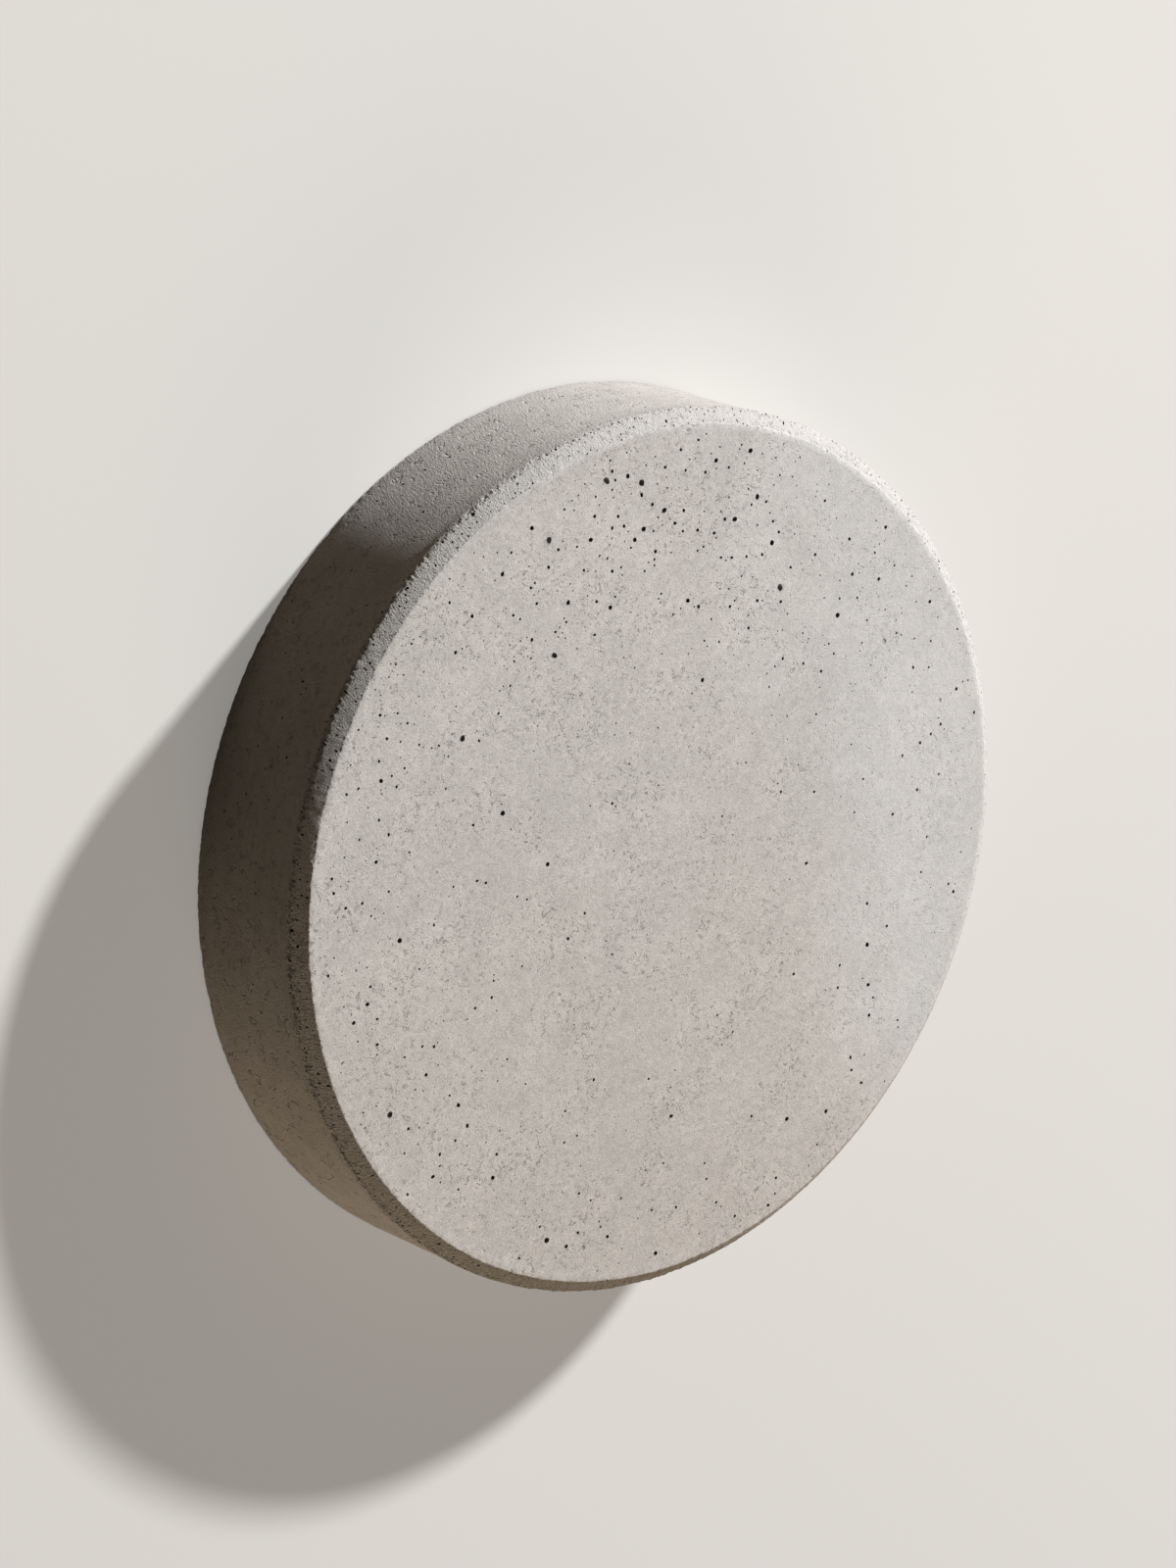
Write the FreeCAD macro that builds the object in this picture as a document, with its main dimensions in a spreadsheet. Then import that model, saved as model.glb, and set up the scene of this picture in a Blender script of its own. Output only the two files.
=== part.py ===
"""Round garden stepping stone, cast in one piece from fine-grained concrete.

The stone lies flat, as it lies in a path: its foot is on the XY plane, the origin is the
centre of the foot, and +Z points up through the tread, the face that is walked on.
Lengths are in millimetres and angles in degrees.

The whole stone is one turned form. It was cast in a round mould, so its side leans in a
little from the foot to the rim, and a ring in the mould gave the tread its chamfer. Each
arris, where two faces meet, is rounded as far as handling wears a cast edge.
"""
import FreeCAD
import Part
import Sketcher
import math
import os

NODE = "stepping_stone"

# alias, value, what it measures
SIZES = (
    ("foot_diameter", 300.0, "across the foot, the widest place"),
    ("thickness", 54.0, "from the foot to the tread"),
    ("draft_angle", 0.6, "degrees that the side leans in, so that the mould lets go"),
    ("chamfer_width", 4.8, "how far the chamfer takes the tread in from the rim"),
    ("chamfer_drop", 4.2, "how far the chamfer goes down from the tread to the rim"),
    ("tread_arris_radius", 0.5, "rounding where the tread meets the chamfer"),
    ("rim_arris_radius", 0.8, "rounding where the chamfer meets the side"),
    ("foot_arris_radius", 0.6, "rounding where the side meets the foot"),
)

START, END = 1, 2  # the two ends of a sketched line
ORIGIN = (-1, 1)  # a sketch's own origin, as its constraints name it


def make_sheet(doc):
    """The driving dimensions, one row each: alias, value, meaning."""
    sheet = doc.addObject("Spreadsheet::Sheet", "sizes")
    for row, (alias, value, meaning) in enumerate(SIZES, start=1):
        sheet.set(f"A{row}", alias)
        sheet.set(f"B{row}", str(value))
        sheet.set(f"C{row}", meaning)
        sheet.setAlias(f"B{row}", alias)
    doc.recompute()
    return sheet


def origin_plane(body, role):
    """One of the body's own origin planes, such as XZ_Plane."""
    return next(f for f in body.Origin.OriginFeatures if f.Role == role)


def size_constraint(sketch, kind, name, ends, expression):
    """A named dimension of the sketch, bound to the sheet."""
    index = sketch.addConstraint(Sketcher.Constraint(kind, *ends, 1.0))
    sketch.renameConstraint(index, name)
    sketch.setExpression(f"Constraints.{name}", expression)


def draw_half_section(body, sheet):
    """Half of the stone's section, from the axis out: foot, side, chamfer and tread."""
    foot_radius = sheet.foot_diameter / 2
    rim_height = sheet.thickness - sheet.chamfer_drop
    rim_radius = foot_radius - rim_height * math.tan(math.radians(sheet.draft_angle))
    tread_radius = rim_radius - sheet.chamfer_width
    corners = [
        FreeCAD.Vector(0, 0, 0),
        FreeCAD.Vector(foot_radius, 0, 0),
        FreeCAD.Vector(rim_radius, rim_height, 0),
        FreeCAD.Vector(tread_radius, sheet.thickness, 0),
        FreeCAD.Vector(0, sheet.thickness, 0),
    ]
    sketch = body.newObject("Sketcher::SketchObject", "half_section")
    sketch.AttachmentSupport = [(origin_plane(body, "XZ_Plane"), "")]
    sketch.MapMode = "FlatFace"
    foot, side, chamfer, tread, axis = (
        sketch.addGeometry(Part.LineSegment(a, b), False)
        for a, b in zip(corners, corners[1:] + corners[:1])
    )
    outline = (foot, side, chamfer, tread, axis)
    for line, following in zip(outline, outline[1:] + outline[:1]):
        sketch.addConstraint(Sketcher.Constraint("Coincident", line, END, following, START))
    sketch.addConstraint(Sketcher.Constraint("Coincident", foot, START, *ORIGIN))
    sketch.addConstraint(Sketcher.Constraint("Horizontal", foot))
    sketch.addConstraint(Sketcher.Constraint("Horizontal", tread))
    sketch.addConstraint(Sketcher.Constraint("Vertical", axis))
    size_constraint(sketch, "DistanceX", "foot_radius", (foot, START, foot, END), "sizes.foot_diameter / 2")
    size_constraint(sketch, "DistanceY", "height", (axis, END, axis, START), "sizes.thickness")
    size_constraint(sketch, "DistanceY", "drop", (chamfer, START, chamfer, END), "sizes.chamfer_drop")
    size_constraint(sketch, "DistanceX", "inset", (chamfer, END, chamfer, START), "sizes.chamfer_width")
    size_constraint(
        sketch,
        "DistanceX",
        "lean",
        (side, END, side, START),
        "(sizes.thickness - sizes.chamfer_drop) * tan(sizes.draft_angle)",
    )
    return sketch


def circle_at(shape, height):
    """The name of the one edge of the shape that runs round at that height."""
    names = [
        f"Edge{number}"
        for number, edge in enumerate(shape.Edges, start=1)
        if abs(edge.BoundBox.ZMin - height) < 1e-6 and abs(edge.BoundBox.ZMax - height) < 1e-6
    ]
    if len(names) != 1:
        raise RuntimeError(f"{len(names)} edges run round at {height} mm")
    return names[0]


def round_arris(doc, body, base, name, height, alias):
    """Rounds the arris at that height with the radius that the sheet gives."""
    fillet = body.newObject("PartDesign::Fillet", name)
    fillet.Base = (base, [circle_at(base.Shape, height)])
    fillet.setExpression("Radius", f"sizes.{alias}")
    doc.recompute()
    return fillet


def make_stone(doc, sheet):
    """The stone: its half section turned round the upright axis, with its arrises rounded."""
    body = doc.addObject("PartDesign::Body", NODE)
    body.Label = NODE
    sketch = draw_half_section(body, sheet)
    doc.recompute()
    turned = body.newObject("PartDesign::Revolution", "turned_form")
    turned.Profile = sketch
    turned.ReferenceAxis = (sketch, ["V_Axis"])
    turned.Angle = 360
    doc.recompute()
    rim_height = sheet.thickness - sheet.chamfer_drop
    rounded = round_arris(doc, body, turned, "tread_arris", sheet.thickness, "tread_arris_radius")
    rounded = round_arris(doc, body, rounded, "rim_arris", rim_height, "rim_arris_radius")
    round_arris(doc, body, rounded, "foot_arris", 0.0, "foot_arris_radius")
    return body


def check_document(doc):
    """Stops where any object of the document failed to compute."""
    failed = [o.Name for o in doc.Objects if {"Invalid", "Error"} & set(o.State)]
    if failed:
        raise RuntimeError(f"these objects failed: {failed}")


def write_part(body):
    """Writes the body's shape to parts, in a file named after its node."""
    shape = body.Shape
    if shape.isNull() or not shape.isValid() or len(shape.Solids) != 1:
        raise RuntimeError(f"{body.Label} is not one valid solid")
    os.makedirs("parts", exist_ok=True)
    shape.exportStep(os.path.join("parts", f"{body.Label}.step"))
    print(f"{body.Label}: {shape.Volume / 1e6:.3f} litres")


def main():
    doc = FreeCAD.newDocument("garden_stepping_stone")
    sheet = make_sheet(doc)
    stone = make_stone(doc, sheet)
    doc.recompute()
    check_document(doc)
    write_part(stone)


main()
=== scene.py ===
import bisect
import math
import random
from typing import NamedTuple

import bmesh
import bpy
from mathutils import Matrix, Vector, kdtree, noise
from mathutils.geometry import delaunay_2d_cdt


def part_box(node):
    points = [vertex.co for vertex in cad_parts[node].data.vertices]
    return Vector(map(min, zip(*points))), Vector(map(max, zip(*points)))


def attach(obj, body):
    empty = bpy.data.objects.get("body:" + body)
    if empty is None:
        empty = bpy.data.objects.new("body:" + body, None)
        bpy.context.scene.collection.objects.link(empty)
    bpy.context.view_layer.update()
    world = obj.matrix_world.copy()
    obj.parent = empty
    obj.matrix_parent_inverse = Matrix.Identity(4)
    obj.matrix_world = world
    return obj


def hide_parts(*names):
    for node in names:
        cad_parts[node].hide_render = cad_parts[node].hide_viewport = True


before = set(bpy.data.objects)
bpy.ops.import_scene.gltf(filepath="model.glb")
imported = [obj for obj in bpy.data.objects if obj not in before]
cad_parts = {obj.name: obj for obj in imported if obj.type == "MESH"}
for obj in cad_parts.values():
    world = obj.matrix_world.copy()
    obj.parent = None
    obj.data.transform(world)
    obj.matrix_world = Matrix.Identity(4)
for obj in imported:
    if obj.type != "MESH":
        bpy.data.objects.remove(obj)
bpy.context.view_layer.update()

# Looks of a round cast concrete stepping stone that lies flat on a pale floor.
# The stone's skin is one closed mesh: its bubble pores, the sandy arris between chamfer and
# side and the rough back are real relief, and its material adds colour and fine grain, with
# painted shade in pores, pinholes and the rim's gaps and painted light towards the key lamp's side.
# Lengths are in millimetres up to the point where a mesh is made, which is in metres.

MM = 0.001
NODE = "stepping_stone"

# Form of the stone. The frame gives the foot's radius and the thickness.
LOW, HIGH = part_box(NODE)
FOOT_RADIUS = (HIGH[0] - LOW[0]) / 2 / MM
THICKNESS = (HIGH[2] - LOW[2]) / MM
CHAMFER_WIDTH = 4.8
CHAMFER_DROP = 4.2
DRAFT_ANGLE = math.radians(0.6)
TREAD_ARRIS_RADIUS = 0.5
RIM_ARRIS_RADIUS = 0.8
FOOT_ARRIS_RADIUS = 0.6
RIM_HEIGHT = THICKNESS - CHAMFER_DROP
RIM_RADIUS = FOOT_RADIUS - RIM_HEIGHT * math.tan(DRAFT_ANGLE)
TREAD_RADIUS = RIM_RADIUS - CHAMFER_WIDTH

# The skin is made of three patches. The band runs over the tread's arris, the chamfer, the
# side and the foot's arris, and the tread and the back are the flat patches inside it.
TREAD_LAP = 1.6
FOOT_LAP = 1.8
TREAD_PATCH_RADIUS = TREAD_RADIUS - TREAD_LAP
BACK_PATCH_RADIUS = FOOT_RADIUS - FOOT_LAP

# Spacing of the skin's points, finest along the sandy rim.
RIM_SPACING = 0.36
EDGE_SPACING = 0.55
CHAMFER_SPACING = 0.9
SIDE_SPACING = 2.3
FOOT_SPACING = 1.2
TREAD_SPACING = 3.8
BACK_SPACING = 3.8
ROW_SHARE = 0.87
JITTER = 0.22

# How far the rim stands out over the side below it.
RIM_LIP = 0.42

# The camera, in the photograph's own place and direction from the stone.
IMAGE_WIDTH, IMAGE_HEIGHT = 1200, 1600
SENSOR = 36.0
LENS = 110.18
CAMERA_AZIMUTH = math.radians(153.90)
CAMERA_ELEVATION = math.radians(48.09)
CAMERA_DISTANCE = 1613.6
VIEW_AZIMUTH = math.radians(154.68)
VIEW_ELEVATION = math.radians(47.96)
VIEW_ROLL = math.radians(109.32)

# Light: a low key lamp from the upper right of the picture, a wide weak one that stands in for
# a card at the lower left, and an even fill.
KEY_AZIMUTH = math.radians(41.5)
KEY_ELEVATION = math.radians(26)
KEY_DISTANCE = 5500
KEY_RADIUS = 190
KEY_STRENGTH = 5.8
CARD_AZIMUTH = math.radians(267)
CARD_ELEVATION = math.radians(12)
CARD_WIDTH = math.radians(44)
CARD_STRENGTH = 1.55
CARD_COLOUR = (1, 0.81, 0.59)
FILL_STRENGTH = 0.034
FILL_COLOUR = (1, 0.77, 0.54, 1)
BACKGROUND = (0.86, 0.85, 0.835, 1)
FLOOR_SEEN = (0.52, 0.51, 0.49, 1)
FLOOR_GLOW = (0.24, 0.235, 0.225, 1)
FLOOR_BOUNCE = (0.13, 0.108, 0.08, 1)
FLOOR_SIZE = 12000

# Painted light: the side of the stone towards which the colour is painted paler, towards the key lamp's side.
PAINTED_LIGHT_AZIMUTH = math.radians(14)

# The side on which chamfer and rim are worn most, away from the key lamp, where the painted shade at the rim is also
# strongest; and how far in over the tread it is chalky.
WORN_AZIMUTH = math.radians(225)
CHALK_WIDTH = 5

# The mould drew fine strokes up the side and over the chamfer: how far they lean sideways for
# each millimetre up, and how much longer than wide they are. Soft wipes run round the side.
STROKE_LEAN = 0.4
STROKE_HEADING = math.atan2(-1, STROKE_LEAN)
STROKE_LENGTH = 3
WIPE_LENGTH = 5


def direction(azimuth, elevation):
    """Unit vector at an azimuth, counted from +X towards +Y, and an elevation."""
    return Vector((
        math.cos(azimuth) * math.cos(elevation),
        math.sin(azimuth) * math.cos(elevation),
        math.sin(elevation),
    ))


CAMERA_PLACE = direction(CAMERA_AZIMUTH, CAMERA_ELEVATION) * CAMERA_DISTANCE


def camera_axes():
    """The camera's right, up and backward directions."""
    back = direction(VIEW_AZIMUTH, VIEW_ELEVATION)
    level_right = Vector((0, 0, 1)).cross(back).normalized()
    level_up = back.cross(level_right)
    right = level_right * math.cos(VIEW_ROLL) + level_up * math.sin(VIEW_ROLL)
    return right, back.cross(right), back


def seen_at(pixel, height):
    """The point at a height above the floor that the photograph shows at a pixel."""
    right, up, back = camera_axes()
    pixels_per_unit = LENS / SENSOR * IMAGE_HEIGHT
    ray = right * ((pixel[0] - IMAGE_WIDTH / 2) / pixels_per_unit)
    ray += up * ((IMAGE_HEIGHT / 2 - pixel[1]) / pixels_per_unit)
    ray -= back
    return CAMERA_PLACE + ray * ((height - CAMERA_PLACE.z) / ray.z)


def round_rim(point):
    """How far round the rim a point lies, from the +X direction on."""
    return math.atan2(point.y, point.x) % math.tau * GIRTH / math.tau


def on_tread(pixel):
    """Where a pixel of the photograph lies on the tread, in the tread's flat layout."""
    point = seen_at(pixel, THICKNESS)
    return point.x, point.y


def on_wall(pixel):
    """Where a pixel of the photograph lies on chamfer or side, in the band's flat layout."""
    point = seen_at(pixel, THICKNESS)
    out = math.hypot(point.x, point.y)
    if out < TREAD_RADIUS:
        return round_rim(point), TREAD_ARRIS_AT + out - TREAD_RADIUS
    height = THICKNESS
    while height > 0:
        point = seen_at(pixel, height)
        above_rim = height - RIM_HEIGHT
        if above_rim > 0:
            wall = RIM_RADIUS - above_rim * CHAMFER_WIDTH / CHAMFER_DROP
        else:
            wall = RIM_RADIUS - above_rim * math.tan(DRAFT_ANGLE)
        if math.hypot(point.x, point.y) <= wall:
            break
        height -= 0.1
    along = -above_rim * (math.hypot(CHAMFER_WIDTH, CHAMFER_DROP) / CHAMFER_DROP if above_rim > 0 else 1)
    return round_rim(point), RIM_ARRIS_AT + along


# Bubble pores of the tread that stand out, read off the photograph: a diameter in
# millimetres, and the pixels at which pores of that size lie.
PORES_SEEN = {
    2.8: ((619, 491), (560, 552), (796, 600)),
    2.4: ((655, 493), (566, 669), (472, 754), (398, 1138)),
    2.1: ((750, 530), (678, 521), (773, 507), (558, 1266)),
    1.85: ((788, 554), (855, 628), (657, 540), (513, 830), (408, 960), (766, 460)),
    1.75: (
        (731, 470), (641, 486), (603, 551), (513, 586), (580, 615), (685, 1139), (803, 1142), (885, 964),
        (974, 960),
    ),
    1.6: (
        (543, 539), (655, 505), (661, 504), (648, 551), (623, 620), (702, 613), (375, 1025), (361, 1044),
        (559, 882), (389, 797), (468, 1128), (477, 1149), (503, 1202), (442, 1201), (578, 1272), (669, 1279),
        (886, 1005), (843, 1134), (717, 694),
    ),
    1.38: (
        (625, 481), (666, 515), (698, 521), (689, 534), (740, 530), (712, 541), (729, 544), (637, 537),
        (625, 539), (607, 527), (631, 527), (669, 563), (747, 569), (560, 579), (625, 583), (713, 619),
        (773, 613), (543, 653), (904, 538), (867, 550), (870, 586), (897, 591), (949, 614), (932, 681),
        (976, 703), (385, 1066), (435, 1097), (449, 1178), (823, 881), (885, 922), (973, 910), (887, 1036),
        (868, 1079), (879, 1105), (784, 1230), (620, 1262), (397, 852), (384, 880), (482, 629), (465, 666),
    ),
    1.18: (
        (628, 490), (700, 480), (720, 482), (724, 483), (744, 477), (679, 477), (695, 459), (713, 449),
        (697, 542), (570, 561), (522, 564), (596, 582), (736, 569), (762, 568), (778, 566), (789, 532),
        (782, 512), (767, 515), (542, 600), (548, 616), (524, 628), (567, 645), (607, 648), (609, 614),
        (745, 619), (764, 641), (799, 672), (842, 511), (795, 543), (832, 566), (807, 579), (838, 685),
        (820, 677), (797, 614), (994, 727), (960, 739), (950, 749), (939, 758), (921, 771), (405, 803),
        (354, 811), (387, 837), (366, 805), (395, 754), (387, 777), (489, 756), (483, 842), (339, 897),
        (341, 912), (353, 927), (370, 922), (487, 899), (496, 901), (597, 932), (443, 944), (580, 958),
        (335, 996), (378, 1007), (502, 1018), (385, 1040), (485, 1029), (625, 820), (431, 1068), (443, 1068),
        (465, 1164), (507, 1178), (416, 1219), (415, 1228), (417, 1152), (591, 1218), (590, 1258),
        (665, 1235), (690, 1232), (530, 1284), (606, 1102), (936, 806), (911, 831), (946, 854), (968, 902),
        (905, 945), (857, 985), (810, 994), (855, 1008), (869, 1092), (842, 1186), (792, 1202), (731, 1227),
        (750, 1241), (767, 1139), (797, 808), (831, 808), (459, 615), (388, 730), (509, 728),
    ),
    0.95: (
        (576, 520), (634, 579), (658, 583), (546, 595), (628, 609), (675, 606), (687, 627),
        (719, 654), (734, 655), (785, 701), (791, 680), (525, 675), (542, 672), (578, 635), (531, 632),
        (644, 559), (718, 558), (712, 562), (620, 570), (612, 567), (668, 571), (668, 577), (829, 564),
        (893, 564), (913, 577), (875, 610), (857, 611), (885, 633), (851, 667), (846, 657), (950, 654),
        (981, 649), (977, 642), (948, 681), (915, 646), (833, 729), (448, 761), (455, 805), (367, 857),
        (418, 870), (397, 910), (463, 905), (528, 915), (538, 918), (379, 935), (504, 1001), (428, 989),
        (533, 986), (625, 974), (413, 1079), (518, 1081), (459, 1118), (413, 1177), (449, 1190), (468, 1214),
        (577, 1134), (589, 1159), (576, 1166), (603, 1225), (634, 1223), (613, 1252), (551, 1252),
        (662, 1101), (677, 1187), (940, 890), (891, 1018), (916, 1041), (748, 1053), (732, 1036), (737, 833),
        (719, 1187), (721, 1203), (791, 1218), (834, 1168), (958, 790), (881, 795), (872, 829), (521, 700),
        (757, 454), (760, 473), (625, 500), (608, 507), (672, 528), (773, 536), (589, 558), (757, 588),
        (764, 499), (667, 542), (796, 485), (750, 613), (726, 632), (623, 470), (406, 728), (416, 738),
        (404, 678), (409, 757), (428, 760), (413, 784), (400, 792), (410, 652), (420, 657), (366, 745),
    ),
    0.8: (
        (731, 478), (660, 475), (671, 494), (597, 494), (626, 508), (584, 511), (719, 522), (586, 521),
        (676, 536), (731, 549), (736, 522), (800, 453), (790, 495), (811, 545), (622, 556), (685, 564),
        (662, 574), (635, 587), (741, 572), (600, 583), (608, 583), (768, 589), (784, 603), (735, 601),
        (744, 601), (582, 596), (672, 611), (674, 615), (695, 621), (764, 628), (576, 631), (397, 691),
        (412, 689), (358, 781), (425, 629), (404, 1009), (424, 1112), (428, 1151), (444, 1155), (510, 1154),
        (717, 440), (721, 443), (640, 462), (669, 466), (710, 468), (704, 469), (778, 463), (735, 456),
        (726, 463),
    ),
}
# Shallow ones, with little painted shade inside.
SHALLOW_PORES_SEEN = {2.3: ((902, 655),), 1.8: ((959, 715), (595, 1274), (664, 449))}
# Those of the chamfer and the side.
WALL_PORES_SEEN = {
    1.35: ((308, 695), (483, 525), (567, 458), (298, 950)),
    1.05: (
        (433, 478), (431, 521), (384, 510), (390, 513), (458, 465), (250, 810), (228, 828), (378, 677),
        (325, 1096), (424, 531), (574, 403), (452, 553), (416, 600), (304, 966), (410, 493), (558, 464),
    ),
    0.85: (
        (423, 471), (487, 475), (476, 530), (487, 533), (495, 511), (550, 468), (578, 451), (597, 444),
        (611, 437), (632, 431), (648, 427), (634, 443), (600, 463), (404, 628), (381, 658), (363, 703),
        (336, 578), (358, 581), (297, 612), (373, 617), (298, 634), (290, 666), (307, 683), (311, 702),
        (306, 708), (276, 716), (287, 732), (262, 761), (275, 782), (273, 816), (241, 820), (255, 820),
        (235, 856), (260, 881), (247, 888), (260, 912), (304, 882), (304, 924), (257, 1005), (281, 1008),
        (304, 1029), (340, 1148), (362, 1195), (418, 1251), (265, 1034), (372, 537), (387, 545),
        (532, 503), (544, 493), (526, 503), (541, 498), (510, 521), (478, 547), (472, 545), (494, 511),
        (585, 450), (603, 441), (625, 432), (635, 449), (657, 421), (683, 418), (734, 414), (729, 420),
        (748, 417), (759, 432), (763, 434), (688, 434), (703, 432), (698, 415), (726, 414), (640, 426),
    ),
    0.74: (
        (311, 1070), (313, 1079), (323, 1110), (330, 1134), (338, 1152), (341, 1161), (344, 1163),
        (347, 1173), (350, 1178), (352, 1184), (356, 1187), (367, 1203), (373, 1212), (378, 1218),
        (383, 1221), (389, 1229), (398, 1239), (406, 1244), (409, 1247), (411, 1251), (416, 1256),
        (423, 1262), (454, 1283), (451, 1281), (470, 1277), (469, 1291), (498, 1302), (523, 1310),
        (543, 1313), (608, 1314), (339, 1138),
    ),
    0.66: (
        (414, 484), (412, 479), (464, 487), (464, 496), (457, 516), (480, 461), (482, 454), (498, 443),
        (494, 459), (515, 456), (517, 438), (526, 443), (481, 494), (491, 493), (475, 471), (464, 470),
        (454, 477), (453, 482), (551, 451), (540, 418), (560, 423), (578, 431), (549, 436), (506, 438),
        (499, 427), (497, 420), (601, 405), (635, 400), (603, 459), (581, 465), (622, 440), (643, 437),
        (472, 546), (482, 547), (295, 685), (258, 678), (296, 752), (304, 650), (264, 727), (268, 719),
        (251, 765), (237, 766), (270, 825), (266, 803), (239, 886), (219, 886), (244, 908), (284, 848),
        (222, 954), (275, 965), (228, 1000), (271, 1007), (298, 929), (321, 1057), (264, 1060), (268, 1126),
        (289, 1153), (384, 1225), (392, 1234), (402, 1237), (443, 1275), (462, 1286), (509, 1305),
    ),
}
# Slits, from end to end: on the tread, and on the chamfer and the side.
TREAD_SLITS_SEEN = {
    0.7: (((347, 1088), (352, 1082)), ((973, 959), (975, 966)), ((608, 1299), (611, 1295)), ((658, 474), (661, 476))),
}
WALL_SLITS_SEEN = {
    0.8: (
        ((303, 1139), (309, 1145)), ((378, 1201), (383, 1198)), ((421, 530), (428, 531)),
        ((521, 513), (515, 521)), ((751, 427), (754, 431)),
    ),
    0.6: (
        ((596, 442), (598, 446)), ((674, 419), (677, 421)), ((703, 419), (706, 422)), ((716, 415), (718, 418)),
        ((717, 427), (719, 431)), ((316, 1090), (320, 1087)), ((325, 1123), (325, 1127)),
        ((324, 1118), (327, 1117)), ((577, 1316), (581, 1314)), ((343, 1139), (350, 1140)),
    ),
    0.5: (((406, 632), (412, 637)), ((324, 1182), (331, 1189)), ((532, 433), (538, 432)), ((412, 535), (412, 544))),
}
# Shares of a turn between which the side's pores are mostly those read off the photograph.
SEEN_WALL = 0.2, 0.62
SMALL_PORES_ON_TREAD = 880
PORES_ON_RIM = 940
PORES_ON_TREAD_ARRIS = 150
PORES_ON_SIDE = 330
PORES_ON_BACK = 190


class Profile:
    """The stone's section as a path out over the tread, down the side and in under the foot."""

    def __init__(self, corners, radii):
        self.runs = []
        self.starts = []
        self.length = 0.0
        place = Vector(corners[0])
        for corner, following, radius in zip(corners[1:], corners[2:], radii):
            corner, following = Vector(corner), Vector(following)
            before = (corner - place).normalized()
            after = (following - corner).normalized()
            turn = before.angle(after)
            setback = radius * math.tan(turn / 2)
            self.add_line(place, corner - before * setback)
            self.add_arc(corner - before * setback, before, radius, turn)
            place = corner + after * setback
        self.add_line(place, Vector(corners[-1]))

    def add_line(self, start, end):
        heading = (end - start).normalized()
        outward = Vector((-heading.y, heading.x))
        self.add(lambda s: (start + heading * s, outward), (end - start).length)

    def add_arc(self, start, heading, radius, turn):
        outward = Vector((-heading.y, heading.x))
        centre = start - outward * radius

        def point(s):
            normal = outward.copy()
            normal.rotate(Matrix.Rotation(-s / radius, 2))
            return centre + normal * radius, normal

        self.add(point, radius * turn)

    def add(self, run, length):
        self.starts.append(self.length)
        self.runs.append(run)
        self.length += length

    def at(self, s):
        """Point and outward normal, each as radius and height, at a distance along the path."""
        index = bisect.bisect_right(self.starts, s) - 1
        index = min(max(index, 0), len(self.runs) - 1)
        return self.runs[index](s - self.starts[index])


PROFILE = Profile(
    (
        (TREAD_PATCH_RADIUS, THICKNESS),
        (TREAD_RADIUS, THICKNESS),
        (RIM_RADIUS, RIM_HEIGHT),
        (FOOT_RADIUS, 0),
        (BACK_PATCH_RADIUS, 0),
    ),
    (TREAD_ARRIS_RADIUS, RIM_ARRIS_RADIUS, FOOT_ARRIS_RADIUS),
)
TREAD_ARRIS_AT = TREAD_LAP
RIM_ARRIS_AT = TREAD_LAP + math.hypot(CHAMFER_WIDTH, CHAMFER_DROP)
FOOT_ARRIS_AT = PROFILE.length - FOOT_LAP
GIRTH = 2 * math.pi * RIM_RADIUS


def bell(distance, width):
    """1 at no distance, and falling off smoothly over the width."""
    return math.exp(-(distance / width) ** 2)


def ramp(value, low, high):
    """0 below low, 1 above high and smooth between."""
    t = min(max((value - low) / (high - low), 0), 1)
    return t * t * (3 - 2 * t)


def waves(point, wavelength, octaves=1):
    """Smooth noise between about -1 and 1."""
    return noise.fractal(point / wavelength, 1.0, 2.0, octaves)


def drawn(point):
    """The point laid so that waves there are drawn out along the mould's strokes."""
    angle = math.atan2(point.y, point.x) - STROKE_LEAN * point.z / RIM_RADIUS
    return Vector((RIM_RADIUS * math.cos(angle), RIM_RADIUS * math.sin(angle), point.z / STROKE_LENGTH))


def worn(azimuth):
    """How badly chamfer and rim are worn at an azimuth, from 0 to 1."""
    return 0.5 + 0.5 * math.cos(azimuth - WORN_AZIMUTH)


def torn_rim(point, s):
    """How deep the sandy arris between chamfer and side is torn out there, in millimetres."""
    at_rim = bell(s - RIM_ARRIS_AT - 0.1, 0.8)
    if at_rim < 0.01:
        return 0.0
    stroke = drawn(point)
    teeth = 0.5 * waves(stroke, 1.3) + 0.36 * waves(stroke + Vector((3, 50, 8)), 2.9)
    notch = 1.3 * max(0.0, waves(stroke, 5.2) - 0.38)
    share = worn(math.atan2(point.y, point.x))
    teeth *= 0.36 + 0.75 * share
    return at_rim * max(0.0, 0.17 + 0.1 * share + (0.75 + 0.9 * waves(point, 15)) * teeth + notch)


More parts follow.
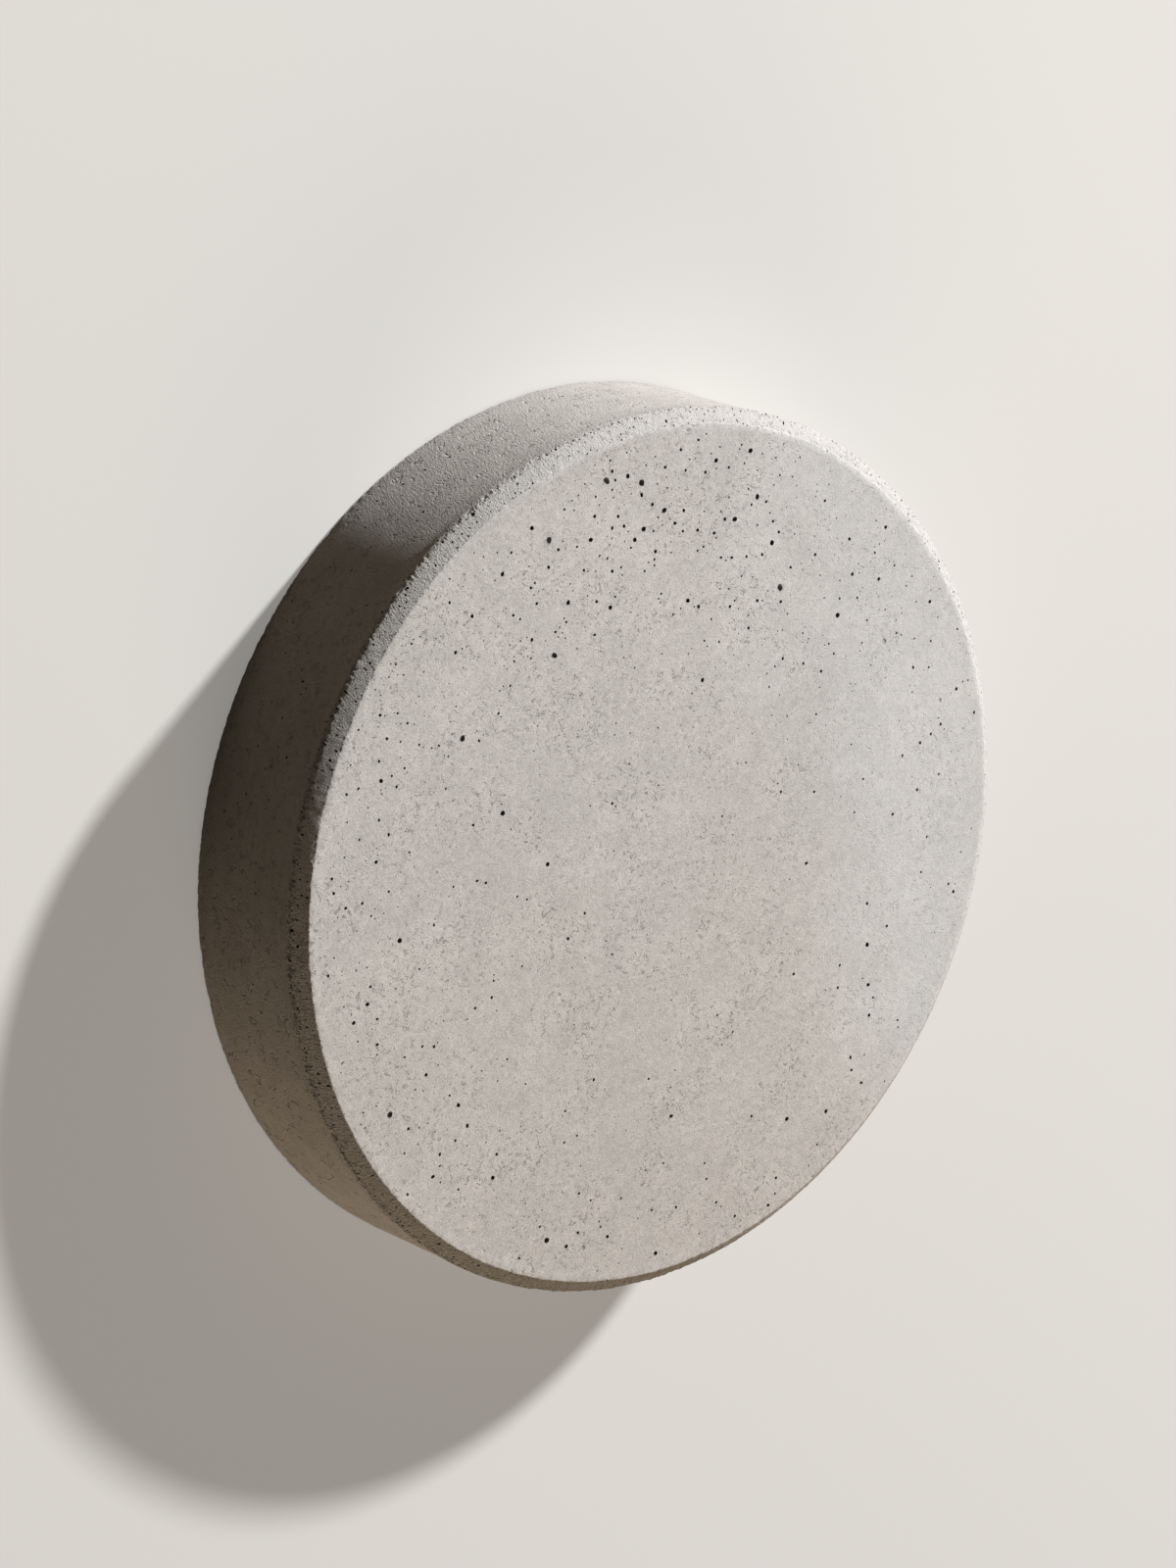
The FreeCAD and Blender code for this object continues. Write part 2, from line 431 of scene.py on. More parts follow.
def relief(point, s):
    """How deep the cast surface lies in under its plain form, in millimetres."""
    on_chamfer = ramp(s, TREAD_ARRIS_AT - 0.5, TREAD_ARRIS_AT + 0.8) * (1 - ramp(s, RIM_ARRIS_AT, RIM_ARRIS_AT + 1.5))
    on_side = ramp(s, RIM_ARRIS_AT - 0.3, RIM_ARRIS_AT + 1.5) * (1 - ramp(s, FOOT_ARRIS_AT, FOOT_ARRIS_AT + 1))
    on_back = ramp(s, FOOT_ARRIS_AT, FOOT_ARRIS_AT + 1)
    on_tread = 1 - ramp(s, TREAD_ARRIS_AT - 0.5, TREAD_ARRIS_AT + 0.8)
    depth = 0.0
    if on_tread:
        depth += on_tread * (0.10 + 0.09 * waves(point, 55) + 0.03 * waves(point, 16))
    if on_chamfer:
        rough = 0.4 + 1.1 * worn(math.atan2(point.y, point.x))
        crumbs = rough * (0.05 * waves(point, 2.6) + 0.045 * waves(point, 1.4))
        depth += on_chamfer * (0.18 + 0.07 * waves(point, 9) + crumbs)
    if on_side:
        under_lip = RIM_LIP * ramp(s, RIM_ARRIS_AT + 0.4, RIM_ARRIS_AT + 5)
        ripple = 0.10 * waves(point, 34) + 0.05 * waves(point, 7) + 0.03 * waves(point, 2.6)
        depth += on_side * (0.14 + under_lip + ripple)
    if on_back:
        depth += on_back * (0.34 + 0.16 * waves(point, 40) + 0.10 * waves(point, 9, 2) + 0.05 * waves(point, 4))
    depth += torn_rim(point, s)
    soft_arris = bell(s - TREAD_ARRIS_AT - 0.2, 1.2) * ramp(s, 0, 0.9)
    if soft_arris > 0.01:
        depth += 0.2 * soft_arris * (1 - worn(math.atan2(point.y, point.x)))
    at_tread_arris = bell(s - TREAD_ARRIS_AT, 0.9)
    if at_tread_arris > 0.01:
        chip = 1.2 * max(0.0, waves(point + Vector((31, 7, 3)), 5) - 0.5)
        depth += at_tread_arris * (max(0.0, 0.08 + 0.17 * waves(point, 1.5) + 0.08 * waves(point, 3.4)) + chip)
    at_foot = bell(s - FOOT_ARRIS_AT, 1.6)
    if at_foot > 0.01:
        chip = 1.6 * max(0.0, waves(point + Vector((5, 60, 9)), 8) - 0.34)
        depth += at_foot * (max(0.0, 0.18 + 0.28 * waves(point, 2.4)) + chip)
    return max(depth, 0.0)


class Pore(NamedTuple):
    """A pore in a patch's flat layout, how deep it is and how much painted shade darkens it, from 0 to 1, and how
    drawn out.
    """

    x: float
    y: float
    radius: float
    dark: float
    stretch: float = 1.0
    heading: float | None = None


def pore_rings(radius):
    """A bubble pore's sides, its rings inside the mouth as shares of its radius, and its depth."""
    if radius > 0.75:
        return 16, ((0.94, 0.4), (0.8, 0.9), (0.45, 1.2)), 1.3
    if radius > 0.45:
        return 10, ((0.9, 0.5), (0.6, 1.0)), 1.2
    return 6, (), 1.2


def crowded(pore, other):
    """Whether two pores lie too near each other."""
    reach = pore.radius * pore.stretch + other.radius * other.stretch
    return math.dist(pore[:2], other[:2]) < 1.6 * reach


class Patch:
    """A flat layout of points, some of them sunk into pores, that is then joined up."""

    def __init__(self, seed, inside=None):
        self.random = random.Random(seed)
        self.inside = inside
        self.border = []
        self.ground = []
        self.pores = []

    def add_seen(self, seen, place, dark):
        """Adds the pores that the photograph shows, given as pixels for each diameter."""
        for diameter, pixels in seen.items():
            for pixel in pixels:
                self.add_clear(Pore(*place(pixel), diameter / 2, dark * (1 - 0.4 * ramp(diameter, 1.9, 2.8))))

    def add_slits(self, seen, place):
        """Adds narrow slits, given as the pixels of both ends for each width."""
        for width, slits in seen.items():
            for slit in slits:
                start, end = (Vector(place(pixel)) for pixel in slit)
                run = end - start
                middle = (start + end) / 2
                stretch = max(run.length / width, 1)
                self.add_clear(Pore(middle.x, middle.y, width / 2, 1.0, stretch, math.atan2(run.y, run.x)))

    def add_clear(self, pore):
        if self.inside(pore) and not any(crowded(pore, other) for other in self.pores):
            self.pores.append(pore)

    def scatter_pores(self, count, choose):
        """Adds pores where choose says, clear of those that are there."""
        near = 6.0
        cells = {}

        def cell(pore):
            return int(pore.x // near), int(pore.y // near)

        for pore in self.pores:
            cells.setdefault(cell(pore), []).append(pore)
        added = 0
        for _ in range(count * 60):
            if added == count:
                break
            pore = choose(self.random)
            if pore is None:
                continue
            column, row = cell(pore)
            around = [
                other
                for i in (column - 1, column, column + 1)
                for j in (row - 1, row, row + 1)
                for other in cells.get((i, j), ())
            ]
            if any(crowded(pore, other) for other in around):
                continue
            self.pores.append(pore)
            cells.setdefault((column, row), []).append(pore)
            added += 1

    def jittered(self, x, y, spacing):
        reach = spacing * JITTER
        return x + self.random.uniform(-reach, reach), y + self.random.uniform(-reach, reach)

    def clear_ground(self):
        """Takes ground points out from under the pores."""
        tree = kdtree.KDTree(len(self.ground))
        for index, (x, y) in enumerate(self.ground):
            tree.insert((x, y, 0), index)
        tree.balance()
        covered = set()
        for pore in self.pores:
            reach = pore.radius * pore.stretch * 1.25 + 0.1
            for _, index, _ in tree.find_range((pore.x, pore.y, 0), reach):
                covered.add(index)
        self.ground = [p for index, p in enumerate(self.ground) if index not in covered]

    def pore_points(self, pore):
        """Points of one pore, mouth first, each with its depth and how much painted shade darkens it."""
        sides, rings, floor = pore_rings(pore.radius)
        turn = self.random.uniform(0, math.tau)
        squash = self.random.uniform(0.72, 1.0)
        heading = self.random.uniform(0, math.tau)
        if pore.heading is not None:
            heading = pore.heading
        wobble = [self.random.uniform(0.93, 1.07) for _ in range(sides)]
        along = Vector((math.cos(heading), math.sin(heading)))
        across = Vector((-along.y, along.x))
        slant = along * self.random.uniform(-0.06, 0.06) * pore.radius
        sink = pore.radius * pore.dark ** 1.5
        for share, depth in ((1, 0), *rings):
            for side in range(sides):
                angle = turn + math.tau * side / sides
                reach = pore.radius * share * wobble[side]
                spot = along * (math.cos(angle) * reach * pore.stretch)
                spot += across * (math.sin(angle) * reach * squash)
                spot += slant * depth
                yield pore.x + spot.x, pore.y + spot.y, depth * sink, pore.dark if depth else 0.0
        yield pore.x + slant.x, pore.y + slant.y, floor * sink, pore.dark

    def triangles(self):
        """All points, as x, y, depth and painted shade, the triangles that join them, and the mouths."""
        self.clear_ground()
        points = [(x, y, 0.0, 0.0) for x, y in self.border + self.ground]
        mouths = []
        for pore in self.pores:
            first = len(points)
            points += self.pore_points(pore)
            sides = pore_rings(pore.radius)[0]
            mouths += [(first + side, first + (side + 1) % sides) for side in range(sides)]
        flat = [Vector(point[:2]) for point in points]
        _, _, faces, origins, _, _ = delaunay_2d_cdt(flat, mouths, [], 0, 1e-7)
        kept = [group[0] for group in origins]
        return points, [[kept[i] for i in face] for face in faces], mouths


def disc_ground(patch, radius, border_count, spacing, finest):
    """Lays a border ring, rings that grow coarser inwards, and an even ground inside them."""
    for step in range(border_count):
        angle = math.tau * step / border_count
        patch.border.append((radius * math.cos(angle), radius * math.sin(angle)))
    reach = radius
    gap = finest
    while gap < spacing:
        reach -= gap * 0.9
        gap *= 1.35
        count = int(math.tau * reach / gap)
        for step in range(count):
            angle = math.tau * (step + 0.5) / count
            patch.ground.append(patch.jittered(reach * math.cos(angle), reach * math.sin(angle), gap * 0.5))
    row_height = spacing * math.sqrt(3) / 2
    rows = int(reach / row_height) + 1
    for row in range(-rows, rows + 1):
        shift = spacing / 2 if row % 2 else 0
        for column in range(-rows - 1, rows + 2):
            x, y = column * spacing + shift, row * row_height
            if math.hypot(x, y) < reach - spacing * 0.6:
                patch.ground.append(patch.jittered(x, y, spacing))


def tread_density(x, y):
    """How thickly bubble pores lie on the tread, from 0 to 1."""
    out = math.hypot(x, y) / TREAD_RADIUS
    upper = ramp(y, 10, 85)
    lower_left = ramp(-x - 0.5 * y, 60, 130)
    edge = ramp(out, 0.72, 0.98)
    cluster = 0.5 + 0.5 * waves(Vector((x, y, 90)), 38)
    return min(1.0, (0.12 + 0.75 * upper + 0.45 * lower_left + 0.25 * edge) * (0.5 + cluster * 0.8))


def skewed(rng, low, high):
    """A random radius that is nearer low than high more often than not."""
    return low + (high - low) * rng.random() ** 2.6


def tread_patch():
    """The tread inside its arris, with the pores that stand out and many small ones."""
    limit = TREAD_PATCH_RADIUS - 1.0

    def inside(pore):
        return math.hypot(pore.x, pore.y) + pore.radius * pore.stretch * 1.3 < limit

    patch = Patch(11, inside)
    disc_ground(patch, TREAD_PATCH_RADIUS, round(GIRTH / CHAMFER_SPACING), TREAD_SPACING, CHAMFER_SPACING)
    patch.add_slits(TREAD_SLITS_SEEN, on_tread)
    patch.add_seen(PORES_SEEN, on_tread, 0.96)
    patch.add_seen(SHALLOW_PORES_SEEN, on_tread, 0.3)

    def choose(rng):
        reach = limit * math.sqrt(rng.random())
        angle = rng.uniform(0, math.tau)
        x, y = reach * math.cos(angle), reach * math.sin(angle)
        if rng.random() > tread_density(x, y):
            return None
        pore = Pore(x, y, skewed(rng, 0.24, 0.44), rng.uniform(0.75, 1))
        return pore if inside(pore) else None

    patch.scatter_pores(SMALL_PORES_ON_TREAD, choose)
    return patch


def band_rows():
    """Distances along the profile of the band's rows of points, each with its spacing."""
    stretches = (
        (TREAD_ARRIS_AT - 0.6, CHAMFER_SPACING, ROW_SHARE),
        (TREAD_ARRIS_AT + 0.7, EDGE_SPACING, ROW_SHARE),
        (RIM_ARRIS_AT - 1.5, CHAMFER_SPACING, ROW_SHARE),
        (RIM_ARRIS_AT + 1.4, RIM_SPACING, ROW_SHARE),
        (RIM_ARRIS_AT + 4, CHAMFER_SPACING, ROW_SHARE),
        (FOOT_ARRIS_AT - 2.2, SIDE_SPACING, ROW_SHARE),
        (FOOT_ARRIS_AT + 1.2, FOOT_SPACING, ROW_SHARE / 2),
    )
    s = 0.0
    for end, spacing, row_share in stretches:
        rows = round((end - s) / (spacing * row_share))
        step = (end - s) / rows
        for _ in range(rows):
            s += step
            yield s, spacing


def band_patch():
    """Chamfer, side and arrises laid out flat: x runs round the rim and y down the profile."""

    def inside(pore):
        reach = pore.radius * pore.stretch * 1.3
        clear_of_seam = reach + 1 < pore.x < GIRTH - reach - 1
        return clear_of_seam and 0.4 + reach < pore.y < FOOT_ARRIS_AT - reach

    patch = Patch(23, inside)
    top_count = round(GIRTH / CHAMFER_SPACING)
    bottom_count = round(GIRTH / FOOT_SPACING)
    patch.border += [(GIRTH * step / top_count, 0.0) for step in range(top_count + 1)]
    patch.border += [(GIRTH * step / bottom_count, PROFILE.length) for step in range(bottom_count + 1)]
    for number, (s, spacing) in enumerate(band_rows()):
        patch.border += [(0.0, s), (GIRTH, s)]
        count = round(GIRTH / spacing)
        shift = 0.5 if number % 2 else 1.0
        for step in range(count - (0 if number % 2 else 1)):
            x, y = patch.jittered(GIRTH * (step + shift) / count, s, min(spacing, CHAMFER_SPACING))
            if spacing * 0.3 < x < GIRTH - spacing * 0.3:
                patch.ground.append((x, y))

    def on_rim(rng):
        s = rng.gauss(RIM_ARRIS_AT - 0.2, 0.9)
        if rng.random() < 0.25:
            s = rng.uniform(TREAD_ARRIS_AT + 0.8, RIM_ARRIS_AT)
        pore = Pore(rng.uniform(0, GIRTH), s, skewed(rng, 0.18, 0.5), 1.0, rng.uniform(1.1, 2.2), STROKE_HEADING)
        if rng.random() > 0.55 + 0.45 * worn(math.tau * pore.x / GIRTH):
            return None
        return pore if inside(pore) else None

    def on_tread_arris(rng):
        s = TREAD_ARRIS_AT + rng.uniform(-0.6, 0.8)
        pore = Pore(rng.uniform(0, GIRTH), s, skewed(rng, 0.2, 0.4), 1.0, rng.uniform(1, 1.6))
        return pore if inside(pore) else None

    def on_side(rng):
        s = rng.uniform(RIM_ARRIS_AT + 1.5, FOOT_ARRIS_AT - 1.5)
        pore = Pore(rng.uniform(0, GIRTH), s, skewed(rng, 0.2, 0.5), rng.uniform(0.7, 1))
        if SEEN_WALL[0] < pore.x / GIRTH < SEEN_WALL[1] and rng.random() < 0.6:
            return None
        return pore if inside(pore) else None

    patch.add_slits(WALL_SLITS_SEEN, on_wall)
    patch.add_seen(WALL_PORES_SEEN, on_wall, 1.0)
    patch.scatter_pores(PORES_ON_RIM, on_rim)
    patch.scatter_pores(PORES_ON_TREAD_ARRIS, on_tread_arris)
    patch.scatter_pores(PORES_ON_SIDE, on_side)
    return patch


def back_patch():
    """The rough underside inside the foot's arris."""
    patch = Patch(37)
    disc_ground(patch, BACK_PATCH_RADIUS, round(GIRTH / FOOT_SPACING), BACK_SPACING, FOOT_SPACING)
    limit = BACK_PATCH_RADIUS - 3

    def choose(rng):
        reach = limit * math.sqrt(rng.random())
        angle = rng.uniform(0, math.tau)
        x, y = reach * math.cos(angle), reach * math.sin(angle)
        return Pore(x, y, skewed(rng, 0.3, 1.4), rng.uniform(0.6, 1))

    patch.scatter_pores(PORES_ON_BACK, choose)
    return patch


def on_flat(height, upward, s):
    """Placing function of a flat patch: a layout point to a point, a normal and the path's s."""
    normal = Vector((0, 0, 1 if upward else -1))
    return lambda x, y: (Vector((x, y, height)), normal, s)


def on_band(x, y):
    """Placing function of the band."""
    (radius, height), (out, up) = PROFILE.at(y)
    angle = math.tau * x / GIRTH
    cosine, sine = math.cos(angle), math.sin(angle)
    return Vector((radius * cosine, radius * sine, height)), Vector((out * cosine, out * sine, up)), y


def add_patch(mesh, layers, hollow_shade, patch, place, flip):
    """Adds a patch to the mesh, each point sunk by the relief and by its pore, and its faces given painted shade in
    pores and torn gaps.
    """
    points, triangles, mouths = patch.triangles()
    verts = []
    torn_depths = []
    for x, y, depth, _ in points:
        point, normal, s = place(x, y)
        torn_depths.append(torn_rim(point, s))
        vert = mesh.verts.new((point - normal * (relief(point, s) + depth)) * MM)
        vert[layers["sand"]] = sandiness(s)
        vert[layers["side"]] = ramp(s, RIM_ARRIS_AT, RIM_ARRIS_AT + 2)
        vert[layers["rim"]] = bell(s - RIM_ARRIS_AT + 0.2, 1.8)
        vert[layers["back"]] = ramp(s, FOOT_ARRIS_AT, FOOT_ARRIS_AT + 1)
        vert[layers["worn"]] = worn(math.atan2(point.y, point.x))
        verts.append(vert)
    for triangle in triangles:
        corners = [verts[i] for i in triangle]
        face = mesh.faces.new(reversed(corners) if flip else corners)
        face.smooth = True
        # Painted shade: faces inside a pore take its darkness, and below, faces in the gaps where the rim is torn
        # deep, most on the worn side.
        face[hollow_shade] = max(points[i][3] for i in triangle)
        torn = sum(torn_depths[i] for i in triangle) / 3
        if torn > 0.32:
            middle = sum((verts[i].co for i in triangle), Vector())
            share = worn(math.atan2(middle.y, middle.x))
            face[hollow_shade] = max(face[hollow_shade], 0.85 * share * share * ramp(torn, 0.32, 0.64))
    for start, end in mouths:
        edge = mesh.edges.get((verts[start], verts[end]))
        if edge:
            edge.smooth = False


def sandiness(s):
    """How rough and sandy the grain is: most at the rim, some on chamfer and side."""
    chamfer = ramp(s, TREAD_ARRIS_AT - 0.2, TREAD_ARRIS_AT + 1.2)
    side = ramp(s, RIM_ARRIS_AT + 1, RIM_ARRIS_AT + 7)
    return chamfer * (1 - 0.4 * side)


def stone_mesh():
    """The whole skin as one closed mesh."""
    mesh = bmesh.new()
    layers = {name: mesh.verts.layers.float.new(name) for name in ("sand", "rim", "side", "back", "worn")}
    # Painted shade of the pores and torn gaps, kept on the faces.
    hollow_shade = mesh.faces.layers.float.new("hollow_shade")
    add_patch(mesh, layers, hollow_shade, tread_patch(), on_flat(THICKNESS, True, 0.0), False)
    add_patch(mesh, layers, hollow_shade, band_patch(), on_band, True)
    add_patch(mesh, layers, hollow_shade, back_patch(), on_flat(0.0, False, PROFILE.length), True)
    bmesh.ops.remove_doubles(mesh, verts=mesh.verts, dist=0.002 * MM)
    data = bpy.data.meshes.new("cast_stone")
    mesh.to_mesh(data)
    mesh.free()
    return data


class Nodes:
    """Short calls for building a node tree."""

    def __init__(self, tree):
        self.tree = tree
        tree.nodes.clear()

    def add(self, kind, inputs=None, **settings):
        node = self.tree.nodes.new(kind)
        for name, value in settings.items():
            setattr(node, name, value)
        for name, value in (inputs or {}).items():
            socket = node.inputs[name]
            if isinstance(value, bpy.types.NodeSocket):
                self.tree.links.new(value, socket)
            else:
                socket.default_value = value
        return node

    def maths(self, operation, a, b=0.0, clamp=False):
        return self.add("ShaderNodeMath", {0: a, 1: b}, operation=operation, use_clamp=clamp).outputs[0]

    def spread(self, value, low, high, to_low=0.0, to_high=1.0, smooth=False):
        """Maps low..high of a value to to_low..to_high and clamps it there."""
        node = self.add(
            "ShaderNodeMapRange",
            {"Value": value, "From Min": low, "From Max": high, "To Min": to_low, "To Max": to_high},
            interpolation_type="SMOOTHSTEP" if smooth else "LINEAR",
        )
        return node.outputs["Result"]

    def times(self, a, b):
        return self.maths("MULTIPLY", a, b)

    def noise(self, place, wavelength, detail=2.0, roughness=0.5, distortion=0.0):
        """Noise whose features are about a wavelength across, in millimetres."""
        node = self.add(
            "ShaderNodeTexNoise",
            {
                "Vector": place,
                "Scale": 1 / (wavelength * MM),
                "Detail": detail,
                "Roughness": roughness,
                "Distortion": distortion,
            },
        )
        return node.outputs["Fac"]

    def on_cylinder(self, place, lean, around, up):
        """The place laid on the rim's cylinder so that noise leans, and runs out around and up."""
        parts = self.add("ShaderNodeSeparateXYZ", {0: place}).outputs
        flat = self.add("ShaderNodeCombineXYZ", {"X": parts["X"], "Y": parts["Y"]}).outputs[0]
        round_out = self.add("ShaderNodeVectorMath", {0: flat}, operation="NORMALIZE").outputs[0]
        reach = RIM_RADIUS * MM / around
        rim = self.add("ShaderNodeVectorMath", {0: round_out, "Scale": reach}, operation="SCALE").outputs[0]
        angle = self.maths("MULTIPLY", parts["Z"], -lean / (RIM_RADIUS * MM))
        turned = self.add("ShaderNodeVectorRotate", {"Vector": rim, "Angle": angle}, rotation_type="Z_AXIS")
        lift = self.add("ShaderNodeCombineXYZ", {"Z": self.maths("DIVIDE", parts["Z"], up)}).outputs[0]
        return self.add("ShaderNodeVectorMath", {0: turned.outputs[0], 1: lift}, operation="ADD").outputs[0]


    def lines(self, place, wavelength, width, share):
        """1 on broken curly lines of that width, in a share of the surface from 0 to 1."""
        curl = self.noise(place, wavelength, 1, 0.4, 1.2)
        reach = width / wavelength
        off = self.maths("ABSOLUTE", self.maths("SUBTRACT", curl, 0.5))
        line = self.spread(off, reach * 0.4, reach * 1.3, 1, 0)
        cut = 0.72 - 0.4 * share
        shown = self.spread(self.noise(place, wavelength * 0.8, 0), cut, cut + 0.06)
        return self.maths("MULTIPLY", line, shown)

    def specks(self, place, spacing, radius, share):
        """1 inside round specks of that radius, in a share of cells that far apart."""
        node = self.add("ShaderNodeTexVoronoi", {"Vector": place, "Scale": 1 / (spacing * MM)})
        size = radius / spacing
        inside = self.spread(node.outputs["Distance"], size * 0.7, size * 1.2, 1, 0)
        pick = self.add("ShaderNodeSeparateColor", {"Color": node.outputs["Color"]}).outputs[0]
        return self.maths("MULTIPLY", inside, self.maths("LESS_THAN", pick, share))

    def blend(self, share, a, b, mode="MIX"):
        node = self.add("ShaderNodeMix", data_type="RGBA", blend_type=mode)
        for name, value in (("Factor", share), ("A", a), ("B", b)):
            socket = next(s for s in node.inputs if s.name == name and s.enabled)
            if isinstance(value, bpy.types.NodeSocket):
                self.tree.links.new(value, socket)
            else:
                socket.default_value = value
        return next(s for s in node.outputs if s.enabled)

    def scaled(self, colour, factor):
        """A colour with its lightness times a factor."""
        return self.add("ShaderNodeVectorMath", {0: colour, "Scale": factor}, operation="SCALE").outputs[0]

    def attribute(self, name):
        return self.add("ShaderNodeAttribute", attribute_name=name).outputs["Fac"]


def concrete_material():
    """Dry cast concrete: cloudy warm grey, sandy where it is rough, with painted shade inside the pores."""
    material = bpy.data.materials.new("cast_concrete")
    material.use_nodes = True
    n = Nodes(material.node_tree)
    place = n.add("ShaderNodeTexCoord").outputs["Object"]
    sand = n.attribute("sand")
    # Painted shade inside pores and torn gaps.
    hollow_shade = n.attribute("hollow_shade")
    rim = n.attribute("rim")
    side = n.attribute("side")
    back = n.attribute("back")
    wear = n.attribute("worn")

    band = n.maths("SUBTRACT", n.spread(sand, 0, 0.3), back, clamp=True)
    rough = n.spread(wear, 0.15, 1, 0.75, 2.2, smooth=True)

    clouds = n.spread(n.noise(place, 60, 3, 0.55, 0.4), 0.36, 0.64)
    blotches = n.noise(place, 13, 4, 0.62, 0.8)
    mottle = n.noise(place, 2.8, 4, 0.65, 0.6)
    grain = n.noise(place, 0.6, 2, 0.6)
    grit = n.noise(place, 0.68, 3, 0.7)
    strokes = n.noise(n.on_cylinder(place, STROKE_LEAN, 1, STROKE_LENGTH), 0.75, 3, 0.7)
    wipes = n.noise(n.on_cylinder(place, 0, WIPE_LENGTH, 1), 5, 3, 0.55)
    hairy = n.spread(n.noise(place, 26, 2), 0.42, 0.6, 0.3, 1)
    hairs = n.times(n.times(n.lines(place, 2.2, 0.09, 0.5), hairy), n.spread(side, 0, 1, 1, 0.6))
    cracks = n.times(n.times(n.lines(place, 5, 0.19, 0.3), side), n.spread(wear, 0.05, 0.5, 0.35, 1))
    pearls = n.times(n.specks(place, 3.4, 0.32, 0.5), side)
    pinholes = n.specks(place, 2.0, 0.17, 0.45)
    # Dashes and gaps along the rim are small pits in the bump and painted shade in the colour.
    dashes = n.specks(n.on_cylinder(place, STROKE_LEAN, 1, 1.7), 1.5, 0.38, 0.8)
    gaps = n.times(n.lines(place, 2.4, 0.15, 0.6), 0.45)
    torn = n.times(n.maths("MAXIMUM", dashes, gaps), n.spread(rim, 0.3, 0.75))
    torn = n.times(torn, n.spread(wear, 0.05, 0.45, 0.35, 1))
    flecks = n.specks(place, 4.6, 0.32, 0.4)

    # Painted light: the colour is paler and cooler towards +X, the key lamp's side, with cloudy borders. It is also
    # warmer towards -Y.
    across = n.add("ShaderNodeVectorMath", {0: place, 1: direction(PAINTED_LIGHT_AZIMUTH, 0)}, operation="DOT_PRODUCT")
    drift = n.spread(n.noise(place, 45, 3), 0.3, 0.7, -0.018, 0.018)
    painted_light = n.spread(n.maths("ADD", across.outputs["Value"], drift), 0.030, 0.098, smooth=True)
    painted_light = n.times(painted_light, n.spread(band, 0, 1, 1, 0))
    along = n.add("ShaderNodeSeparateXYZ", {0: place}).outputs["Y"]
    warm = n.spread(n.maths("SUBTRACT", drift, along), -0.05, 0.15, smooth=True)
    colour = n.blend(warm, (0.553, 0.534, 0.510, 1), (0.546, 0.508, 0.472, 1))
    colour = n.blend(painted_light, colour, (0.613, 0.601, 0.583, 1))
    tint = n.blend(side, (0.985, 0.978, 0.974, 1), (0.99, 0.979, 0.965, 1))
    colour = n.blend(band, colour, n.blend(1.0, colour, tint, "MULTIPLY"))
    colour = n.scaled(colour, n.spread(clouds, 0, 1, 0.972, 1.028))
    colour = n.scaled(colour, n.spread(blotches, 0.3, 0.7, 0.94, 1.055))
    stains = n.noise(n.on_cylinder(place, 0, 2, 1), 9, 3, 0.6)
    stained = n.scaled(colour, n.spread(stains, 0.3, 0.7, 0.93, 1.06))
    colour = n.blend(n.times(band, side), colour, stained)
    speckled = n.scaled(colour, n.spread(mottle, 0.3, 0.7, 0.90, 1.09))
    speckled = n.scaled(speckled, n.spread(grain, 0.3, 0.7, 0.81, 1.18))
    speckle = n.times(n.spread(band, 0, 1, 1, 0.45), n.spread(painted_light, 0, 1, 1, 0.72))
    colour = n.blend(speckle, colour, speckled)
    sandy = n.scaled(colour, n.spread(grit, 0.3, 0.7, 0.84, 1.13))
    sandy = n.scaled(sandy, n.spread(strokes, 0.3, 0.7, 0.92, 1.06))
    crumbly = n.times(n.spread(rim, 0, 0.5, 0.55, 1), n.spread(wear, 0.45, 0.9))
    sandy = n.blend(crumbly, sandy, n.scaled(sandy, n.spread(grit, 0.34, 0.64, 0.68, 1.26)))
    colour = n.blend(n.times(band, n.spread(side, 0, 1, n.spread(wear, 0.2, 0.9, 0.5, 1), 0.28)), colour, sandy)
    # The tread's arris has a chalky edge where the chamfer is worn.
    flat = n.add("ShaderNodeVectorMath", {0: place, 1: (1, 1, 0)}, operation="MULTIPLY").outputs[0]
    out = n.add("ShaderNodeVectorMath", {0: flat}, operation="LENGTH").outputs["Value"]
    edge = n.spread(out, (TREAD_RADIUS - CHALK_WIDTH) * MM, TREAD_RADIUS * MM)
    chalk = n.times(n.times(edge, n.spread(band, 0, 1, 1, 0)), n.spread(mottle, 0.42, 0.6))
    chalk = n.times(chalk, n.spread(wear, 0.5, 0.95, 0, 0.45))
    colour = n.blend(chalk, colour, (0.68, 0.665, 0.64, 1))
    wiped = n.scaled(colour, n.spread(wipes, 0.3, 0.7, 0.96, 1.035))
    colour = n.blend(n.times(band, side), colour, wiped)
    # Painted shade in the rim's dashes and gaps.
    colour = n.blend(n.times(torn, 0.95), colour, (0.07, 0.062, 0.055, 1))
    # Painted shade: a broken dark line along the worn rim's arris, between chamfer and side.
    arris_shade = n.times(n.spread(rim, 0.72, 0.97), n.spread(wear, 0.4, 0.85))
    arris_shade = n.times(arris_shade, n.spread(strokes, 0.42, 0.5, 1, 0))
    arris_shade = n.times(arris_shade, n.spread(mottle, 0.4, 0.56))
    colour = n.blend(n.times(arris_shade, 0.75), colour, (0.11, 0.098, 0.085, 1))
    colour = n.blend(n.times(hairs, n.spread(painted_light, 0, 1, 0.6, 0.25)), colour, (0.15, 0.135, 0.12, 1))
    colour = n.blend(n.times(cracks, 0.25), colour, (0.12, 0.105, 0.09, 1))
    colour = n.blend(n.times(flecks, 0.25), colour, (0.72, 0.71, 0.68, 1))
